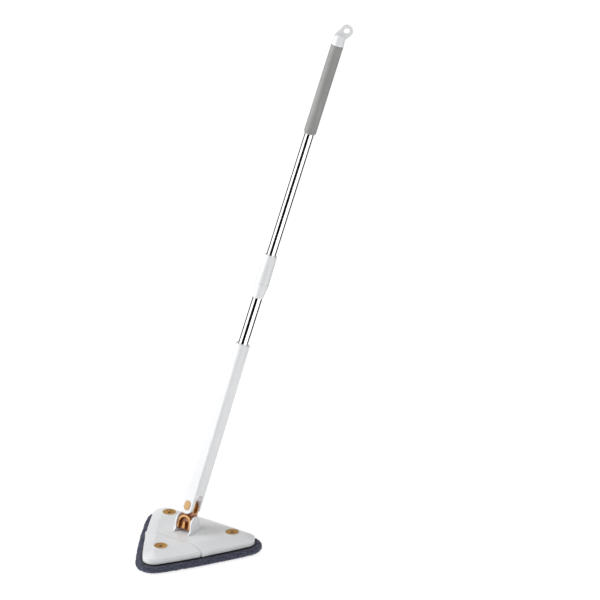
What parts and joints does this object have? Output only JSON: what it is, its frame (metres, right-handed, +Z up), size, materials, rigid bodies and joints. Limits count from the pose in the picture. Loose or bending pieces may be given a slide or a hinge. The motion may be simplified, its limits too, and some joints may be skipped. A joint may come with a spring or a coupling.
{
  "type": "triangular floor mop",
  "caption": "Triangular flat floor mop with a folding front flap, a two-axis swivel joint and a telescopic twist-lock pole with a hanging loop.",
  "frame": {"origin": "on the floor, at the middle of the pad underside and straight below the pitch pin", "axes": "+Z up from the floor, -Y towards the front corner of the head, +X along the pitch pin"},
  "size_m": [0.3318, 0.5507, 1.1809],
  "materials": {
    "white_plastic": "smooth injection-moulded, soft gloss",
    "pole_chrome": "polished stainless tube",
    "grip_grey": "fine matt texture",
    "gold_plastic": "moulded, golden",
    "cap_gold": "moulded, light gold",
    "orange_plastic": "moulded, amber orange",
    "dark_plastic": "moulded",
    "pad_fabric": "short microfibre pile, slate violet",
    "hook_tape": "hook tape",
    "screw_steel": "zinc plated",
    "pin_steel": "ground"
  },
  "bodies": {
    "head": {"head_shell": "white_plastic", "head_cover": "white_plastic", "head_cover_screws": "screw_steel", "hook_sheet_main": "hook_tape", "pad_main": "pad_fabric", "gripper_left": "gold_plastic", "gripper_right": "gold_plastic", "hinge_rod": "screw_steel", "pitch_pin": "pin_steel", "pitch_washers": "pin_steel"},
    "tip_flap": {"tip_shell": "white_plastic", "tip_cover": "white_plastic", "tip_cover_screws": "screw_steel", "hook_sheet_tip": "hook_tape", "pad_tip": "pad_fabric", "gripper_tip": "gold_plastic"},
    "knuckle": {"knuckle": "orange_plastic"},
    "shaft": {"lower_shaft": "white_plastic", "roll_pin": "pin_steel", "roll_cap_front": "cap_gold", "roll_cap_rear": "cap_gold", "roll_washers": "pin_steel", "shaft_screw": "screw_steel", "lower_tube": "pole_chrome", "lock_sleeve": "white_plastic"},
    "lock_nut": {"lock_nut": "white_plastic"},
    "upper_pole": {"upper_tube": "pole_chrome", "tube_bush": "dark_plastic", "grip": "grip_grey", "end_plug": "dark_plastic"},
    "hanger": {"hanger": "white_plastic"}
  },
  "joints": [
    {"name": "tip_fold", "type": "hinge", "parent": "head", "child": "tip_flap", "pos_m": [0, -0.052, 0.021], "axis": [1, 0, 0], "range_deg": [0, 45]},
    {"name": "pole_pitch", "type": "hinge", "parent": "head", "child": "knuckle", "pos_m": [0, 0, 0.0625], "axis": [-1, 0, 0], "range_deg": [-103, 52]},
    {"name": "pole_roll", "type": "hinge", "parent": "knuckle", "child": "shaft", "pos_m": [0, 0.01744, 0.09742], "axis": [0, 0.9511, -0.309], "range_deg": [-68, 52]},
    {"name": "lock_turn", "type": "hinge", "parent": "shaft", "child": "lock_nut", "pos_m": [0.07883, 0.19033, 0.62951], "axis": [0.1395, 0.306, 0.9418], "range_deg": [-120, 0]},
    {"name": "pole_slide", "type": "slide", "parent": "shaft", "child": "upper_pole", "axis": [0.1395, 0.306, 0.9418], "range_m": [-0.28, 0]},
    {"name": "hanger_swivel", "type": "hinge", "parent": "upper_pole", "child": "hanger", "pos_m": [0.15417, 0.35557, 1.13806], "axis": [0.1395, 0.306, 0.9418], "continuous": true}
  ]
}
